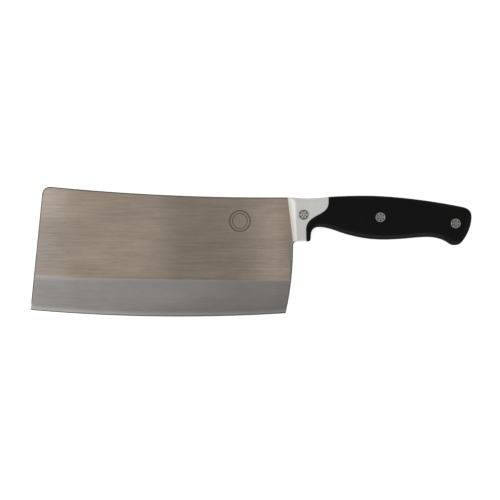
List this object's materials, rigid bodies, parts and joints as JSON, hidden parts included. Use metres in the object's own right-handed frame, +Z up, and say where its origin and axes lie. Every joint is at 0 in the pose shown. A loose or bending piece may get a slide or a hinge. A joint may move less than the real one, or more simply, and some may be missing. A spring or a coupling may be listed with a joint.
{
  "type": "meat cleaver",
  "caption": "Rectangular-bladed meat cleaver with a full tang, satin bolsters, black handle scales and flush mosaic pins.",
  "frame": {"origin": "centre of the box that the lying cleaver fills, on the plane it lies on", "axes": "+X along the length to the butt of the handle, +Y to the spine, +Z up through the thickness, so its left side faces up"},
  "size_m": [0.3084, 0.0908, 0.019],
  "materials": {
    "blade_steel": "brushed along the blade, satin wide bevel, polished narrow cutting bevel",
    "bolster_steel": "light satin",
    "scale_black": "fine satin, black",
    "pin_steel": "ground flush",
    "rod_steel": "ground flush",
    "pin_resin": "dark filler, ground flush"
  },
  "bodies": {
    "root": {"blade": "blade_steel", "bolster_left": "bolster_steel", "bolster_right": "bolster_steel", "scale_left": "scale_black", "scale_right": "scale_black", "bolster_pin_tube": "pin_steel", "bolster_pin_rods": "rod_steel", "bolster_pin_resin": "pin_resin", "middle_pin_tube": "pin_steel", "middle_pin_rods": "rod_steel", "middle_pin_resin": "pin_resin", "rear_pin_tube": "pin_steel", "rear_pin_rods": "rod_steel", "rear_pin_resin": "pin_resin"}
  },
  "joints": []
}
